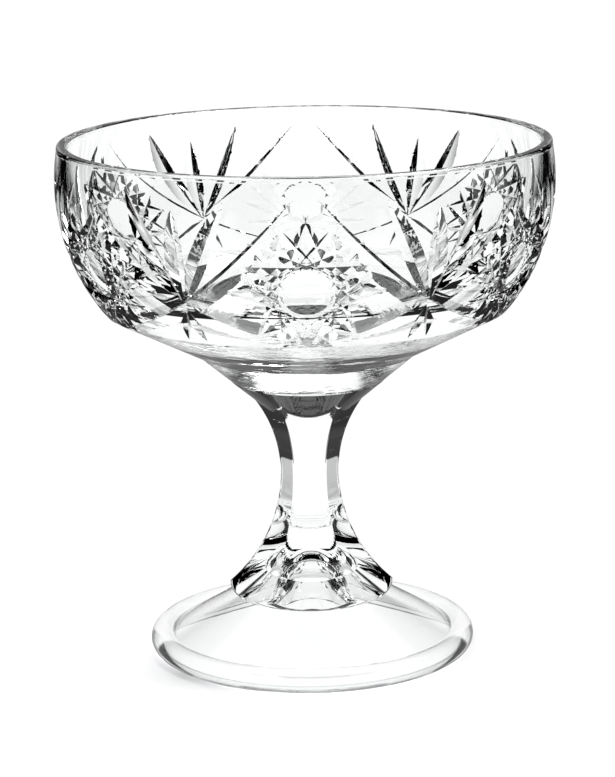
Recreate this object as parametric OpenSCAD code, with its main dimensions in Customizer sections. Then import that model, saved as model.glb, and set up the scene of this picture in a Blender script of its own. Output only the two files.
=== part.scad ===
// Footed trifle bowl in clear pressed crystal.
// A bowl with a cut pattern stands on a hollow pedestal, and a thin clear bond film joins the two.
// The origin is the middle of the foot's contact ring, with Z up. All lengths are in millimetres.

/* [Bowl] */
// Widest outer radius of the bowl, a little below the rim
belly_r = 102.6; // [98:0.2:106]
// Height of the bowl from its seat on the pedestal to the top of the rim
bowl_h = 100.4; // [96:0.2:106]
// Height of the widest ring above the seat
belly_h = 84; // [80:0.5:88]
// Radius of the outer wall's curve, seen from the side
wall_curve_r = 83.6; // [80:0.2:88]
// Thickness of the wall at the rim, which ends in a full round
rim_wall = 4.6; // [3.6:0.1:6]
// Thickness of the glass in the middle of the bowl, over the seat
floor_t = 17; // [14:0.5:20]
// Height above the seat of the centre of the inside curve
cavity_curve_h = 86; // [83:0.5:89]
// Height above the seat where the curved wall turns into the sloping lower band
turn_h = 31.5; // [30:0.5:34]
// Radius of the edge round the bowl's underside
base_edge_r = 46.5; // [42:0.5:52]
// Height of that edge above the seat
base_edge_h = 12.3; // [11:0.1:13.5]
// Radius of the flat seat that is bonded to the pedestal
seat_r = 32; // [29:0.5:35]

/* [Cut pattern] */
// Number of diamonds round the bowl
diamonds = 6; // [6:1:6]
// Height above the seat of a diamond's top point
top_point_h = 92.5; // [90:0.5:94]
// Height above the seat of a diamond's side corners, where the fans start
side_corner_h = 50.8; // [48:0.2:53]
// Depth of the long diagonal grooves at the side corners
diagonal_d = 2.3; // [1.5:0.1:3]
// Angle between the two flanks of a diagonal groove
diagonal_angle = 108; // [90:1:120]
// Angle that a diagonal groove runs on past a diamond's bottom point
run_out_az = 5; // [3:0.5:7]
// Angle between the two flanks of a fan's leaf cuts
leaf_angle = 92; // [80:1:105]
// Azimuth from the middle leaf's tip to a side leaf's tip
leaf_spread_az = 11.5; // [10:0.5:13]
// Height above the seat of the tips of the two side leaves
side_leaf_h = 89.5; // [86:0.5:91]
// Height above the seat of the tip of the middle leaf
middle_leaf_h = 84; // [80:0.5:87]
// Length of a leaf's keel below the fan's start
leaf_tail = 6; // [4:0.5:8]
// Height above the seat of the button in the middle of a diamond
button_h = 55.8; // [54:0.2:58]
// Radius of the clear round button, out to the groove round it
button_r = 9.8; // [9:0.2:10.4]
// Depth of the groove round the button
button_d = 1.4; // [1:0.1:1.8]
// Angle between the two flanks of that groove
button_angle = 84; // [70:1:96]
// Radius of the ring that the star's chords touch
star_ring_r = 10.8; // [10.4:0.2:12]
// Radius of the star's tips
star_tip_r = 26; // [24:0.2:27]
// Number of points on the star
star_points = 16; // [12:4:16]
// Angle between the two flanks of a star chord
star_angle = 66; // [60:1:72]
// Length of each of the two short cuts below a fan's start
tail_l = 22; // [18:0.5:25]
// Angle of a short cut away from straight down
tail_angle = 14; // [10:1:18]

/* [Pedestal] */
// Height of the pedestal
pedestal_h = 115.8; // [110:0.2:120]
// Distance from the axis to a flat of the six-sided stem at its waist
waist_flat = 11; // [9:0.2:14]
// Height of the waist
waist_h = 76; // [72:1:80]
// Radius of the flats' curve above the waist
upper_curve_r = 58; // [55:1:64]
// Radius of the flats' curve below the waist
lower_curve_r = 70; // [66:1:76]
// Radius of the round collar that the flats run out on
collar_r = 34.4; // [32:0.2:36]
// Height of the collar's lower edge
collar_h = 23.5; // [22:0.5:25]
// Radius of the round on the collar's lower edge
collar_round = 4.5; // [3:0.5:6]
// Outer radius of the foot
foot_r = 68.4; // [62:0.2:76]
// Radius of the round bead on the foot's edge
bead_r = 5; // [4.5:0.1:6]
// Depth that the bead is ground flat to, where it rests
ground_d = 0.3; // [0.1:0.1:0.6]
// Height at which the skirt meets the inner side of the bead
skirt_edge_h = 6.5; // [5.5:0.1:8]
// Thickness of the skirt, measured upright
skirt_t = 4.6; // [3.5:0.1:6]
// Height of the top of the hollow under the pedestal
hollow_h = 40; // [38:0.5:46]
// Radius at which the hollow's cone gives way to its dome
dome_r = 14; // [10:0.5:17]
// Slope of the flare under the bowl, as the angle from level
flare_angle = 40.3; // [36:0.1:44]

/* [Bond] */
// Thickness of the clear bond between the pedestal and the bowl
bond_t = 0.2; // [0.1:0.05:0.5]
// Distance that the bond stays back from the edge of the joint
bond_inset = 1; // [0.5:0.1:2]

/* [Hidden] */
$fn = 96;

// One overrun serves every cut that has to pass through a face.
overrun = 1;
// Length that a cutter's keel runs past the two points of the wall that it joins.
run_past = 3;

seat_z = pedestal_h + bond_t;
rim_z = seat_z + bowl_h;
sector = 360 / diamonds;

// The outer wall is one arc about a centre inside the bowl.
wall_x = belly_r - wall_curve_r;
wall_z = seat_z + belly_h;
function wall_r(z) = wall_x + sqrt(wall_curve_r * wall_curve_r - (z - wall_z) * (z - wall_z));

// The inside is an arc too, tangent to the flat floor and one rim wall inside the lip.
lip_z = rim_z - rim_wall / 2;
cavity_z = seat_z + cavity_curve_h;
cavity_r = cavity_curve_h - floor_t;
cavity_x = wall_r(lip_z) - rim_wall
    - sqrt(cavity_r * cavity_r - (lip_z - cavity_z) * (lip_z - cavity_z));

// The pattern's heights from the foot.
turn_z = seat_z + turn_h;
top_point_z = seat_z + top_point_h;
side_corner_z = seat_z + side_corner_h;
button_z = seat_z + button_h;

// A place on the pattern is an azimuth from the front and a height.
// From it comes the point at a depth below the outer wall, with X to the right and Y to the back.
function at(place, depth = 0) =
    let (lift = asin((place[1] - wall_z) / wall_curve_r),
         r = wall_x + (wall_curve_r - depth) * cos(lift))
    [r * sin(place[0]), -r * cos(place[0]), wall_z + (wall_curve_r - depth) * sin(lift)];

// The place that lies s to the right of another, and t above it along the wall's curve.
function beside(place, s, t) =
    let (lift = asin((place[1] - wall_z) / wall_curve_r) + t / wall_curve_r * 180 / PI)
    [place[0] + s / wall_r(place[1]) * 180 / PI, wall_z + wall_curve_r * sin(lift)];

function unit(v) = v / norm(v);

// Moves a tool so that its axes lie along three directions.
module placed(origin, x, y, z) {
    multmatrix([[x[0], y[0], z[0], origin[0]],
                [x[1], y[1], z[1], origin[1]],
                [x[2], y[2], z[2], origin[2]]])
        children();
}

// The section of a mitre cut, with its keel at the origin and its open side towards +Y.
module mitre(reach, angle) {
    polygon([[0, 0], [reach * tan(angle / 2), reach], [-reach * tan(angle / 2), reach]]);
}

// A straight mitre cut. Its keel joins two points of the wall, so that the wall's own curve
// gives the groove its depth and its pointed ends.
module straight_cut(p, q, angle) {
    along = unit(q - p);
    middle = (p + q) / 2;
    side = unit(cross([middle[0], middle[1], middle[2] - wall_z], along));
    placed(p - run_past * along, side, cross(along, side), along)
        linear_extrude(norm(q - p) + 2 * run_past) mitre(norm(q - p) / 4, angle);
}

// A curved mitre cut. Its keel is the arc from p to q that passes through m.
module curved_cut(p, m, q, angle) {
    a = m - p;
    b = q - p;
    n = cross(a, b);
    centre = p + ((b * b) * cross(n, a) + (a * a) * cross(b, n)) / (2 * (n * n));
    keel_r = norm(p - centre);
    x = unit(p - centre);
    z = unit(cross(x, q - centre));
    past = run_past / keel_r * 180 / PI;
    placed(centre, x, cross(z, x), z)
        rotate(-past)
            rotate_extrude(angle = acos(x * unit(q - centre)) + 2 * past)
                translate([keel_r, 0]) rotate(-90) mitre(norm(b) / 6, angle);
}

// The two long grooves that start at a diamond's top point, cross a side corner and run out
// past the bottom point of the next diamond.
module diagonals(az) {
    for (way = [-1, 1])
        curved_cut(at([az, top_point_z]),
                   at([az + way * sector / 2, side_corner_z], diagonal_d),
                   at([az + way * (sector + run_out_az), turn_z]),
                   diagonal_angle);
}

// The three leaves that rise from a side corner between two diagonals.
module fan(az) {
    foot = [az, side_corner_z];
    for (leaf = [-1, 0, 1]) {
        tip_z = seat_z + (leaf == 0 ? middle_leaf_h : side_leaf_h);
        down = unit([-leaf * leaf_spread_az * PI / 180 * wall_r(tip_z), side_corner_z - tip_z]);
        straight_cut(at([az + leaf * leaf_spread_az, tip_z]),
                     at(beside(foot, leaf_tail * down[0], leaf_tail * down[1])),
                     leaf_angle);
    }
}

// The two short cuts that spread downwards from a side corner.
module tails(az) {
    foot = [az, side_corner_z];
    for (way = [-1, 1])
        straight_cut(at(beside(foot, -way * leaf_tail * sin(tail_angle), leaf_tail * cos(tail_angle))),
                     at(beside(foot, way * (tail_l - leaf_tail) * sin(tail_angle),
                               -(tail_l - leaf_tail) * cos(tail_angle))),
                     leaf_angle);
}

// A hobstar: chords that touch a ring and cross to form the points, round a clear button.
module star(az) {
    middle = [az, button_z];
    half = sqrt(star_tip_r * star_tip_r - star_ring_r * star_ring_r);
    for (i = [0 : star_points - 1]) {
        turn = i * 360 / star_points;
        touch = star_ring_r * [cos(turn), sin(turn)];
        run = half * [-sin(turn), cos(turn)];
        straight_cut(at(beside(middle, touch[0] - run[0], touch[1] - run[1])),
                     at(beside(middle, touch[0] + run[0], touch[1] + run[1])),
                     star_angle);
    }
}

// The ring groove that leaves a round button standing.
module button_groove(az) {
    middle = [az, button_z];
    outward = unit(at(middle) - at(middle, button_d));
    across = [cos(az), sin(az), 0];
    open = button_d + overrun;
    placed(at(middle, button_d), across, cross(outward, across), outward)
        rotate_extrude()
            translate([button_r, 0]) mitre(open, button_angle);
}

// Half of the bowl's section, before the pattern is cut.
module bowl_section() {
    difference() {
        intersection() {
            polygon([[0, seat_z], [seat_r, seat_z], [base_edge_r, seat_z + base_edge_h],
                     [wall_r(turn_z), turn_z], [belly_r + overrun, turn_z],
                     [belly_r + overrun, lip_z], [0, lip_z]]);
            union() {
                translate([wall_x, wall_z]) circle(wall_curve_r);
                translate([0, seat_z]) square([base_edge_r, belly_h]);
            }
        }
        translate([cavity_x, cavity_z]) circle(cavity_r);
        translate([-overrun, seat_z + floor_t]) square([cavity_x + overrun, bowl_h]);
    }
    translate([wall_r(lip_z) - rim_wall / 2, lip_z]) circle(rim_wall / 2);
}

module bowl() {
    color("azure", 0.4)
        difference() {
            rotate_extrude() bowl_section();
            for (i = [0 : diamonds - 1]) {
                diagonals(i * sector);
                star(i * sector);
                button_groove(i * sector);
                fan((i + 0.5) * sector);
                tails((i + 0.5) * sector);
            }
        }
}

module bond_film() {
    color("white", 0.4)
        translate([0, 0, pedestal_h])
            cylinder(r = seat_r - bond_inset, h = bond_t);
}

// One flat of the stem is the path of a wheel that is round in side view and straight across.
module flat_cut(turn) {
    reach = collar_r + overrun;
    rotate(turn)
        rotate([90, 0, 0])
            linear_extrude(2 * reach, center = true)
                intersection() {
                    union() {
                        intersection() {
                            translate([waist_flat + upper_curve_r, waist_h]) circle(upper_curve_r);
                            translate([0, waist_h]) square([reach, pedestal_h]);
                        }
                        intersection() {
                            translate([waist_flat + lower_curve_r, waist_h]) circle(lower_curve_r);
                            square([reach, waist_h]);
                        }
                    }
                    translate([0, collar_h + overrun]) square([reach, pedestal_h]);
                }
}

// Half of the stem and collar's section, before the flats are cut.
module stem_section() {
    collar_top = collar_h + collar_round;
    translate([0, collar_h]) square([collar_r - collar_round, pedestal_h - collar_h]);
    translate([0, collar_top]) square([collar_r, waist_h - collar_top]);
    translate([collar_r - collar_round, collar_top]) circle(collar_round);
}

module pedestal() {
    bead_x = foot_r - bead_r;
    bead_z = bead_r - ground_d;
    skirt_r = bead_x - bead_r / 2;
    skirt_top_r = collar_r - collar_round / 2;
    slope = (collar_h - skirt_edge_h) / (skirt_r - skirt_top_r);
    hollow_r = bead_x - bead_r;
    function skirt_under(r) = skirt_edge_h + (skirt_r - r) * slope - skirt_t;
    dome_edge = skirt_under(dome_r);
    dome_rise = hollow_h - dome_edge;
    dome_curve_r = (dome_r * dome_r + dome_rise * dome_rise) / (2 * dome_rise);
    flare_h = seat_r * tan(flare_angle);
    color("azure", 0.4)
        difference() {
            union() {
                difference() {
                    rotate_extrude() stem_section();
                    for (i = [0 : diamonds - 1]) flat_cut(i * sector - 90);
                }
                // The flare runs up to the seat, and the stem's corners stand out of it as ridges.
                translate([0, 0, pedestal_h - flare_h]) cylinder(r1 = 0, r2 = seat_r, h = flare_h);
                // The skirt and the bead on its edge.
                rotate_extrude() {
                    polygon([[0, skirt_under(hollow_r)], [skirt_r, skirt_under(hollow_r)],
                             [skirt_r, skirt_edge_h],
                             [skirt_top_r, collar_h], [skirt_top_r - collar_round, collar_h + collar_round],
                             [0, collar_h + collar_round]]);
                    translate([bead_x, bead_z]) circle(bead_r);
                }
            }
            // The hollow, a cone that ends in a low dome.
            rotate_extrude() {
                polygon([[0, -overrun], [hollow_r, -overrun], [hollow_r, skirt_under(hollow_r)],
                         [dome_r, dome_edge], [0, dome_edge]]);
                intersection() {
                    translate([0, hollow_h - dome_curve_r]) circle(dome_curve_r);
                    square([dome_r, hollow_h]);
                }
            }
            // The foot is ground flat where it rests.
            translate([0, 0, -bead_r]) cylinder(r = foot_r, h = bead_r);
        }
}

bowl();
bond_film();
pedestal();
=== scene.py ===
"""The looks of a footed trifle bowl in clear pressed crystal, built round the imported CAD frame.

Everything is in the frame of the CAD model: +Z runs up the stem and the viewer stands on -Y. The classes
hold their sizes in millimetres, as a glass maker's drawing does, and the meshes are in metres.

The glass is one closed skin for each pressing. A ring of places is carried along the turned profile, and the
mitre cuts and wheel cuts are taken off along the inward direction at each place. Where two faces of the
pattern meet, the nearest vertex is moved onto the edge between them, so each facet stays flat and crisp.
"""

from __future__ import annotations

import logging
import math
from dataclasses import dataclass, field, replace
from enum import Enum

import bpy
import numpy as np
from mathutils import Matrix, Vector


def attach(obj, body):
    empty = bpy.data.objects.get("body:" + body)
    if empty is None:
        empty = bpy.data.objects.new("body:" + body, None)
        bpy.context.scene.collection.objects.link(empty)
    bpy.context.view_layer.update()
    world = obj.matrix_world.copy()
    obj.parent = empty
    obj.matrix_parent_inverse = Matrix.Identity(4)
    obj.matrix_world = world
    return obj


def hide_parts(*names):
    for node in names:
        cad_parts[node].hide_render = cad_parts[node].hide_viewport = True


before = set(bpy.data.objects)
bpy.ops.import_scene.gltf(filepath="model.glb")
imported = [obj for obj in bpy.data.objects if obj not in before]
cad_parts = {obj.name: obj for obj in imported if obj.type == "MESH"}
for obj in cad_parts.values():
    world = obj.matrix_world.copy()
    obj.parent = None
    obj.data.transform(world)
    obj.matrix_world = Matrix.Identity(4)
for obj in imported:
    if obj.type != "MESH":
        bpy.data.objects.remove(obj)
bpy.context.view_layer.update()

LOG = logging.getLogger("trifle_bowl")
MM = 0.001
SECTORS = 6
HALF_SECTOR = 180 / SECTORS
TINY = 1e-9
SMOOTH = {"interpolation_type": "SMOOTHSTEP"}
Point = tuple[float, float]


# Colour and node helpers


def linear(code: str, alpha: float = 1.0) -> tuple[float, float, float, float]:
    """Turns an sRGB hex colour into the linear values that a shader takes.

    Args:
        code: The colour as "#RRGGBB".
        alpha: The alpha that goes with it.

    Returns:
        Linear red, green, blue and alpha.
    """
    parts = [int(code[i : i + 2], 16) / 255 for i in (1, 3, 5)]
    r, g, b = (c / 12.92 if c <= 0.04045 else ((c + 0.055) / 1.055) ** 2.4 for c in parts)
    return r, g, b, alpha


def add_node(
    tree: bpy.types.NodeTree,
    kind: str,
    settings: dict[str, object] | None = None,
    values: dict[str | int, object] | None = None,
    links: dict[str | int, bpy.types.NodeSocket] | None = None,
) -> bpy.types.Node:
    """Adds one node with its settings, socket values and links.

    Args:
        tree: The node tree that gets the node.
        kind: The node's type name.
        settings: Attributes of the node itself.
        values: Values for input sockets, by name or number.
        links: Output sockets to link into input sockets, by name or number.

    Returns:
        The new node.
    """
    node = tree.nodes.new(kind)
    for name, value in (settings or {}).items():
        setattr(node, name, value)
    for name, value in (values or {}).items():
        node.inputs[name].default_value = value
    for name, socket in (links or {}).items():
        tree.links.new(socket, node.inputs[name])
    return node


def blank_material(name: str) -> tuple[bpy.types.Material, bpy.types.NodeTree]:
    """Makes a material with an empty node tree.

    Args:
        name: The material's name.

    Returns:
        The material and its node tree.
    """
    material = bpy.data.materials.new(name)
    material.use_nodes = True
    material.node_tree.nodes.clear()
    return material, material.node_tree


# Finishes


@dataclass(frozen=True)
class PressedCrystal:
    """Fire-polished pressed crystal glass: colourless, mirror smooth, with a faint ripple from the mould.

    The squeeze stretches the ripple, so that it is longer across than up where the stretch is more than 1.
    """

    name: str = "pressed_crystal_glass"
    colour: str = "#FDFEFE"
    ior: float = 1.525
    roughness: float = 0.0
    ripple_mm: float = 9.0
    ripple_depth_mm: float = 0.008
    stretch: float = 1.0
    shade: str = "#FBFBFC"

    def material(self) -> bpy.types.Material:
        """Builds the node material.

        The eye gets clear glass with sharp black and white facets. The ripple is the chill of the mould,
        some micrometres deep and a finger's width long. Lamps shine through with a little loss at each
        surface, so the shadow on the floor is the pale one of clear glass.

        Returns:
            The finished material.
        """
        material, tree = blank_material(self.name)
        place = add_node(tree, "ShaderNodeTexCoord")
        drawn = add_node(
            tree,
            "ShaderNodeVectorMath",
            {"operation": "MULTIPLY"},
            {1: (1.0, 1.0, self.stretch)},
            {0: place.outputs["Object"]},
        )
        ripple = add_node(
            tree,
            "ShaderNodeTexNoise",
            values={"Scale": 1 / (self.ripple_mm * MM), "Detail": 1.0, "Roughness": 0.4},
            links={"Vector": drawn.outputs[0]},
        )
        bump = add_node(
            tree,
            "ShaderNodeBump",
            values={"Strength": 1.0, "Distance": self.ripple_depth_mm * MM},
            links={"Height": ripple.outputs["Fac"]},
        )
        glass = add_node(
            tree,
            "ShaderNodeBsdfPrincipled",
            values={
                "Base Color": linear(self.colour),
                "Transmission Weight": 1.0,
                "IOR": self.ior,
                "Roughness": self.roughness,
            },
            links={"Normal": bump.outputs["Normal"]},
        )
        clear = add_node(tree, "ShaderNodeBsdfTransparent", values={"Color": linear(self.shade)})
        path = add_node(tree, "ShaderNodeLightPath")
        mix = add_node(
            tree,
            "ShaderNodeMixShader",
            links={0: path.outputs["Is Shadow Ray"], 1: glass.outputs[0], 2: clear.outputs[0]},
        )
        add_node(tree, "ShaderNodeOutputMaterial", links={"Surface": mix.outputs[0]})
        return material


@dataclass(frozen=True)
class BondedFace:
    """A face of glass under cured adhesive of the same refractive index, where light goes straight on."""

    name: str = "bonded_glass_face"
    colour: str = "#FFFFFF"
    relative_ior: float = 1.0

    def material(self) -> bpy.types.Material:
        """Builds the node material. Its relative index is one, so the face doesn't shine or bend light.

        Returns:
            The finished material.
        """
        material, tree = blank_material(self.name)
        face = add_node(
            tree,
            "ShaderNodeBsdfPrincipled",
            values={
                "Base Color": linear(self.colour),
                "Transmission Weight": 1.0,
                "IOR": self.relative_ior,
                "Roughness": 0.0,
            },
        )
        add_node(tree, "ShaderNodeOutputMaterial", links={"Surface": face.outputs[0]})
        return material


@dataclass(frozen=True)
class CuredAdhesive:
    """The edge of an ultraviolet cured acrylic bond: clear, a touch warmer and softer than the glass."""

    name: str = "uv_cured_acrylic_bond"
    colour: str = "#FBFAF4"
    ior: float = 1.49
    roughness: float = 0.06
    grain_mm: float = 0.8

    def material(self) -> bpy.types.Material:
        """Builds the node material. Fine grain in the roughness is the wiped edge of the bond.

        Returns:
            The finished material.
        """
        material, tree = blank_material(self.name)
        place = add_node(tree, "ShaderNodeTexCoord")
        grain = add_node(
            tree,
            "ShaderNodeTexNoise",
            values={"Scale": 1 / (self.grain_mm * MM), "Detail": 2.0},
            links={"Vector": place.outputs["Object"]},
        )
        rough = add_node(
            tree,
            "ShaderNodeMapRange",
            values={"To Min": self.roughness, "To Max": 3 * self.roughness},
            links={"Value": grain.outputs["Fac"]},
        )
        bond = add_node(
            tree,
            "ShaderNodeBsdfPrincipled",
            values={"Base Color": linear(self.colour), "Transmission Weight": 1.0, "IOR": self.ior},
            links={"Roughness": rough.outputs["Result"]},
        )
        add_node(tree, "ShaderNodeOutputMaterial", links={"Surface": bond.outputs[0]})
        return material


# Turned profiles


@dataclass(frozen=True)
class Run:
    """One stretch of a turned profile, in radius and height: straight, or an arc about a centre.

    Attributes:
        start: Where it starts.
        end: Where it ends.
        rings: The number of rings of vertices on it.
        centre: The arc's centre, or None for a straight stretch.
    """

    start: Point
    end: Point
    rings: int
    centre: Point | None = None


class Profile:
    """A turned profile, walked with the glass on the left, so that its right-hand side faces the air."""

    def __init__(self, runs: list[Run]) -> None:
        """Works out each run's length and the stations of its rings.

        Args:
            runs: The stretches in order, each starting where the last one ends.
        """
        self.runs = runs
        self.start = np.array([r.start for r in runs])
        self.end = np.array([r.end for r in runs])
        self.round = np.array([r.centre is not None for r in runs])
        self.centre = np.array([r.centre or (0.0, 0.0) for r in runs])
        first, last = self.start - self.centre, self.end - self.centre
        self.radius = np.linalg.norm(first, axis=1)
        self.angle = np.arctan2(first[:, 1], first[:, 0])
        turn = np.arctan2(
            first[:, 0] * last[:, 1] - first[:, 1] * last[:, 0], (first * last).sum(1)
        )
        self.turn = np.where(self.round, turn, 0.0)
        straight = self.end - self.start
        chord = np.linalg.norm(straight, axis=1)
        self.along = straight / chord[:, None]
        self.length = np.where(self.round, np.abs(self.turn) * self.radius, chord)
        self.ends = np.concatenate([[0.0], np.cumsum(self.length)])
        self.stations = np.concatenate(
            [np.linspace(a, b, r.rings, endpoint=False) for a, b, r in zip(self.ends, self.ends[1:], runs)]
            + [self.ends[-1:]]
        )

    def walk(self, lengths: np.ndarray) -> tuple[np.ndarray, np.ndarray, np.ndarray]:
        """Gives the places at some lengths along the profile.

        A straight place is start + length * direction. A round one is centre + radius * (cos, sin) of the
        start angle plus its share of the turn.

        Args:
            lengths: Lengths from the profile's start.

        Returns:
            Places, the directions that face the air, and the number of each place's run.
        """
        run = np.clip(np.searchsorted(self.ends, lengths, side="right") - 1, 0, len(self.runs) - 1)
        part = np.clip(lengths - self.ends[run], 0.0, self.length[run])
        angle = self.angle[run] + self.turn[run] * part / self.length[run]
        spoke = np.stack([np.cos(angle), np.sin(angle)], -1)
        bent = self.round[run][..., None]
        place = np.where(
            bent,
            self.centre[run] + self.radius[run][..., None] * spoke,
            self.start[run] + part[..., None] * self.along[run],
        )
        out = np.stack([self.along[run][..., 1], -self.along[run][..., 0]], -1)
        facing = np.where(bent, np.sign(self.turn[run])[..., None] * spoke, out)
        return place, facing, run

    def facing(self, run: np.ndarray, places: np.ndarray) -> np.ndarray:
        """Gives the direction that faces the air at places on the turned surface of a run.

        On a straight run it is the run's direction turned to the right. On an arc it is the direction from
        the arc's centre, or towards it where the arc is hollow.

        Args:
            run: The number of each place's run.
            places: Places in space.

        Returns:
            One unit vector for each place.
        """
        radius = np.linalg.norm(places[..., :2], axis=-1)
        out = places[..., :2] / np.maximum(radius, TINY)[..., None]
        spoke = np.stack([radius, places[..., 2]], -1) - self.centre[run]
        spoke = spoke / np.maximum(np.linalg.norm(spoke, axis=-1), TINY)[..., None]
        flat = np.stack([self.along[run][..., 1], -self.along[run][..., 0]], -1)
        side = np.where(self.round[run][..., None], np.sign(self.turn[run])[..., None] * spoke, flat)
        return np.concatenate([out * side[..., :1], side[..., 1:]], -1)


def line_meets_circle(start: Point, way: Point, centre: Point, radius: float) -> Point:
    """Gives the first place, going along a line, that lies on a circle.

    The place is start + t * way, where t solves a * t^2 + 2 * b * t + c = 0.

    Args:
        start: Where the line starts, inside the circle or before it.
        way: The line's direction.
        centre: The circle's centre.
        radius: The circle's radius.

    Returns:
        The place, as radius and height.
    """
    dx, dz = start[0] - centre[0], start[1] - centre[1]
    a = way[0] ** 2 + way[1] ** 2
    b = dx * way[0] + dz * way[1]
    c = dx * dx + dz * dz - radius**2
    far = math.sqrt(b * b - a * c)
    t = min(x for x in ((-b - far) / a, (-b + far) / a) if x > 0)
    return start[0] + t * way[0], start[1] + t * way[1]


# Cuts


@dataclass(frozen=True)
class Flank:
    """One face that a wheel or mould leaves: out * (distance from the axis - radius) + along * height = 0.

    The height is measured along the axis from the centre, and the value is positive in the air. A cone, a
    cylinder and a nearly flat mitre face are all of this form.
    """

    centre: np.ndarray
    axis: np.ndarray
    radius: float
    out: float
    along: float

    NEWTON_STEPS = 5
    LEAST_SLOPE = 0.05

    def measure(self, places: np.ndarray) -> tuple[np.ndarray, np.ndarray]:
        """Gives the value at some places and the direction in which it grows.

        Args:
            places: Places in space.

        Returns:
            The value and its slope for each place.
        """
        spoke = places - self.centre
        height = spoke @ self.axis
        across = spoke - height[..., None] * self.axis
        distance = np.maximum(np.linalg.norm(across, axis=-1), TINY)
        value = self.out * (distance - self.radius) + self.along * height
        slope = self.out * across / distance[..., None] + self.along * self.axis
        return value, slope

    def depth(self, places: np.ndarray, inward: np.ndarray) -> np.ndarray:
        """Gives how far it is along the inward direction to the face, by Newton's steps.

        Args:
            places: Places where the search starts.
            inward: The unit direction at each place.

        Returns:
            The distance to the face, which is negative where the place is already in the glass, and minus
            infinity where the face turns away from the ray.
        """
        gone = np.zeros(len(places))
        met = np.ones(len(places), bool)
        for _ in range(self.NEWTON_STEPS):
            value, slope = self.measure(places + gone[:, None] * inward)
            steep = -(slope * inward).sum(-1)
            met &= steep > self.LEAST_SLOPE
            gone += np.where(met, value / np.maximum(steep, self.LEAST_SLOPE), 0.0)
        return np.where(met, gone, -math.inf)


@dataclass(frozen=True)
class Cut:
    """A cut with one or two flanks.

    Attributes:
        flanks: Its faces.
        middle: The place from which its reach is measured.
        reach: How far from its middle it reaches.
        low: The height from which it cuts.
        high: The height below which it cuts.
        spared: A place round which it leaves the wall alone, or None.
        spared_r: How far it leaves the wall alone round that place.
    """

    flanks: tuple[Flank, ...]
    middle: np.ndarray
    reach: float
    low: float = -math.inf
    high: float = math.inf
    spared: np.ndarray | None = None
    spared_r: float = 0.0

    def near(self, places: np.ndarray, open_side: np.ndarray) -> np.ndarray:
        """Gives the numbers of the places that the cut can reach, out of those on the side that is cut."""
        close = open_side & (places[:, 2] >= self.low) & (places[:, 2] < self.high)
        close[close] = np.linalg.norm(places[close] - self.middle, axis=-1) <= self.reach
        if self.spared is not None:
            close[close] = np.linalg.norm(places[close] - self.spared, axis=-1) > self.spared_r
        return np.flatnonzero(close)


MITRE_REACH = 0.62  # of the keel's length, from its deepest place
RING_REACH = 1.5  # of the keel's radius, from its middle


def unit(v: np.ndarray) -> np.ndarray:
    """Gives the unit vector along v."""
    return v / np.linalg.norm(v)


def mitre_cut(start: np.ndarray, deepest: np.ndarray, end: np.ndarray, angle: float) -> Cut:
    """Makes a mitre cut whose keel is the arc through three places.

    With a and b the ways from the start to the deepest place and to the end, and n = a x b, the arc's centre
    is start + (b.b * (n x a) + a.a * (b x n)) / (2 * n.n).

    Args:
        start: Where the keel leaves the wall.
        deepest: The keel's middle, under the wall.
        end: Where the keel leaves the wall again.
        angle: The angle between the two flanks, in degrees.

    Returns:
        The cut.
    """
    a, b = deepest - start, end - start
    n = np.cross(a, b)
    centre = start + ((b @ b) * np.cross(n, a) + (a @ a) * np.cross(b, n)) / (2 * (n @ n))
    bulge = unit(deepest - (start + end) / 2)
    outward = unit(np.append(deepest[:2], 0.0))
    convex = 1.0 if (bulge @ outward) * ((deepest - centre) @ bulge) > 0 else -1.0
    cot = 1 / math.tan(math.radians(angle / 2))
    radius = float(np.linalg.norm(deepest - centre))
    flanks = tuple(Flank(centre, unit(n), radius, convex, side * cot) for side in (-1.0, 1.0))
    return Cut(flanks, deepest, MITRE_REACH * float(np.linalg.norm(b)))


def ring_cut(centre: np.ndarray, axis: np.ndarray, radius: float, angle: float) -> Cut:
    """Makes a round mitre groove whose keel is a circle.

    Args:
        centre: The middle of the keel's circle.
        axis: The direction out of the wall.
        radius: The keel's radius.
        angle: The angle between the two flanks, in degrees.

    Returns:
        The cut.
    """
    cot = 1 / math.tan(math.radians(angle / 2))
    flanks = tuple(Flank(centre, axis, radius, side * cot, 1.0) for side in (-1.0, 1.0))
    return Cut(flanks, centre, RING_REACH * radius)


# Skins of glass


@dataclass
class Skin:
    """A closed mesh of triangles with a facing direction for each corner, in millimetres."""

    places: np.ndarray
    corners: np.ndarray
    facings: np.ndarray
    faces: np.ndarray

    def to_object(
        self, name: str, plain: bpy.types.Material, marked: dict[int, bpy.types.Material]
    ) -> bpy.types.Object:
        """Puts the skin into a Blender object at the origin.

        Args:
            name: The object's name.
            plain: The material of the faces that no run marks.
            marked: The material of each marked run, by the run's number.

        Returns:
            The new object.
        """
        mesh = bpy.data.meshes.new(name)
        mesh.from_pydata((self.places * MM).tolist(), [], self.corners.tolist())
        which = np.zeros(len(self.corners), np.int32)
        mesh.materials.append(plain)
        for number, (run, material) in enumerate(marked.items(), 1):
            mesh.materials.append(material)
            which[self.faces == run] = number
        mesh.polygons.foreach_set("material_index", which)
        mesh.polygons.foreach_set("use_smooth", np.ones(len(self.corners), bool))
        mesh.normals_split_custom_set(self.facings.reshape(-1, 3).tolist())
        mesh.update()
        piece = bpy.data.objects.new(name, mesh)
        bpy.context.scene.collection.objects.link(piece)
        return piece


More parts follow.
